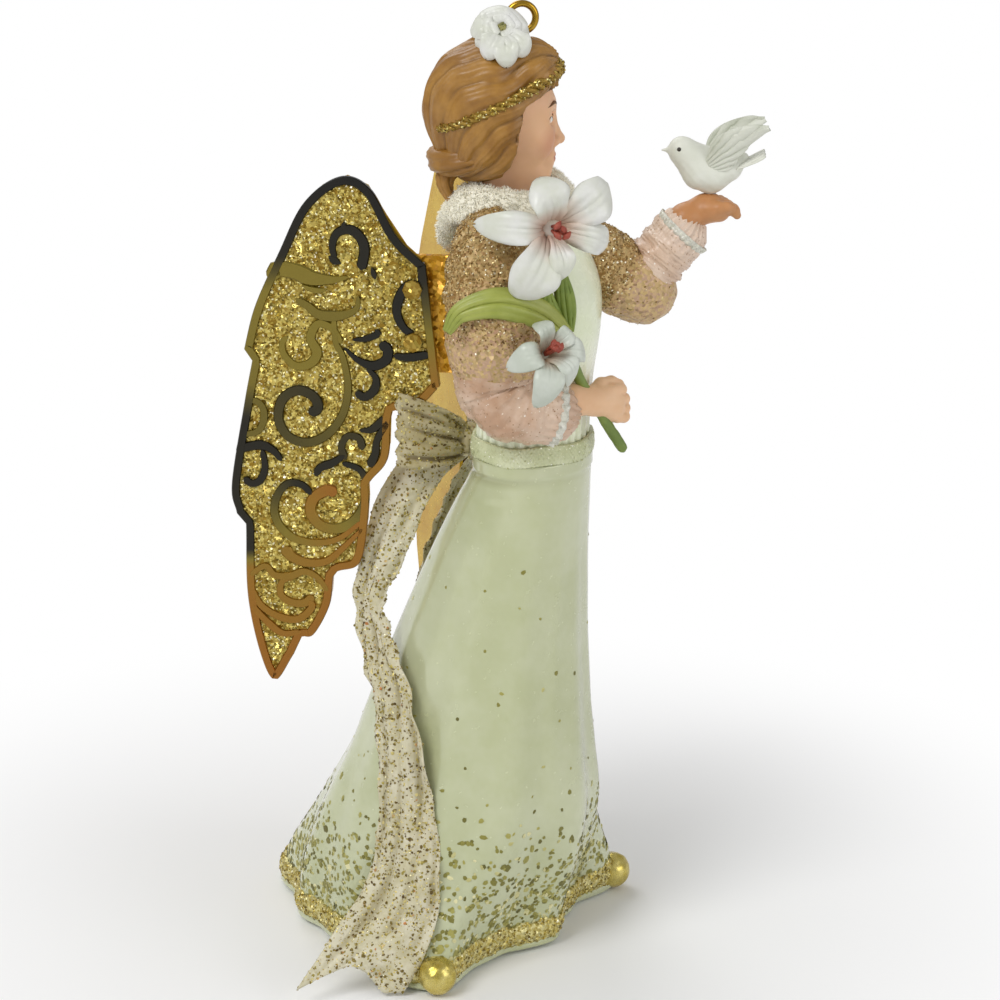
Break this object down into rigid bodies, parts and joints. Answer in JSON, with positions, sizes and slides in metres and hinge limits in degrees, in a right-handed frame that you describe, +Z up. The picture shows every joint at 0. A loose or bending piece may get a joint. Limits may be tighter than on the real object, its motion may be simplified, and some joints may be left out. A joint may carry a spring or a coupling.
{
  "type": "angel christmas ornament",
  "caption": "Standing angel figure ornament in a long gown, with scrolled metal wings, a dove on the raised hand, a lily spray, a ribbon sash and a hanging ring on the head.",
  "frame": {"origin": "on the floor plane under the gown, in the middle of the hem's round part", "axes": "+Z up, -Y towards the gown's front, +X towards the angel's left hand; the head turns 44 degrees to its left"},
  "size_m": [0.0554, 0.0656, 0.1319],
  "materials": {
    "pearl": "pearl lacquer over cast resin",
    "gold_paint": "metallic gold paint with glitter",
    "steel": "plain drawn",
    "skin": "satin paint over cast resin",
    "hair": "painted, darker in the grooves",
    "white_petal": "satin white paint",
    "green_leaf": "satin green paint",
    "red_stamen": "satin paint",
    "brass": "polished",
    "wing_relief": "polished scrolls over a glitter ground",
    "fur": "short off-white pile",
    "rose_glitter": "rose-gold glitter",
    "sheer_sleeve": "pale pink sheen with fine glitter",
    "silver_trim": "silver-white glitter",
    "dove_white": "satin white paint",
    "organza": "sheer, with gold flecks"
  },
  "bodies": {
    "figure": {"skirt": "pearl", "hem_bead_right": "gold_paint", "hem_bead_left": "gold_paint", "hem_trim_front": "gold_paint", "hem_trim_back": "gold_paint", "belt": "pearl", "bodice": "pearl", "waist_dowel": "steel", "neck_dowel": "steel", "head": "skin", "hair": "hair", "circlet": "gold_paint", "hair_lily": "white_petal", "hair_lily_centre": "green_leaf", "hanging_eye": "brass", "collar": "fur", "sleeve_right": "rose_glitter", "sleeve_left": "rose_glitter", "cuff_right": "sheer_sleeve", "cuff_left": "sheer_sleeve", "cuff_band_right": "silver_trim", "cuff_band_left": "silver_trim", "hand_right": "skin", "hand_left": "skin", "dove_body": "dove_white", "dove_wing_right": "dove_white", "dove_wing_left": "dove_white", "dove_peg": "steel", "lily_large": "white_petal", "lily_large_stamens": "red_stamen", "lily_small": "white_petal", "lily_small_stamens": "red_stamen", "lily_stem": "green_leaf", "leaf_long": "green_leaf", "leaf_front": "green_leaf", "leaf_back": "green_leaf", "wing_plate_right": "brass", "wing_plate_left": "brass", "wing_front_right": "wing_relief", "wing_front_left": "wing_relief", "wing_rivet_right_lower": "brass", "wing_rivet_right_upper": "brass", "wing_rivet_left_lower": "brass", "wing_rivet_left_upper": "brass", "wing_bracket": "brass", "bracket_screw": "steel", "sash_knot": "organza", "sash_loop_right": "organza", "sash_loop_left": "organza", "sash_tail_right": "organza", "sash_tail_left": "organza"},
    "ring": {"hanging_ring": "brass"}
  },
  "joints": [
    {"name": "ring_swing", "type": "hinge", "parent": "figure", "child": "ring", "pos_m": [-0.00025, -0.01583, 0.12783], "axis": [-0.6947, 0.7193, 0], "range_deg": [0, 75]}
  ]
}
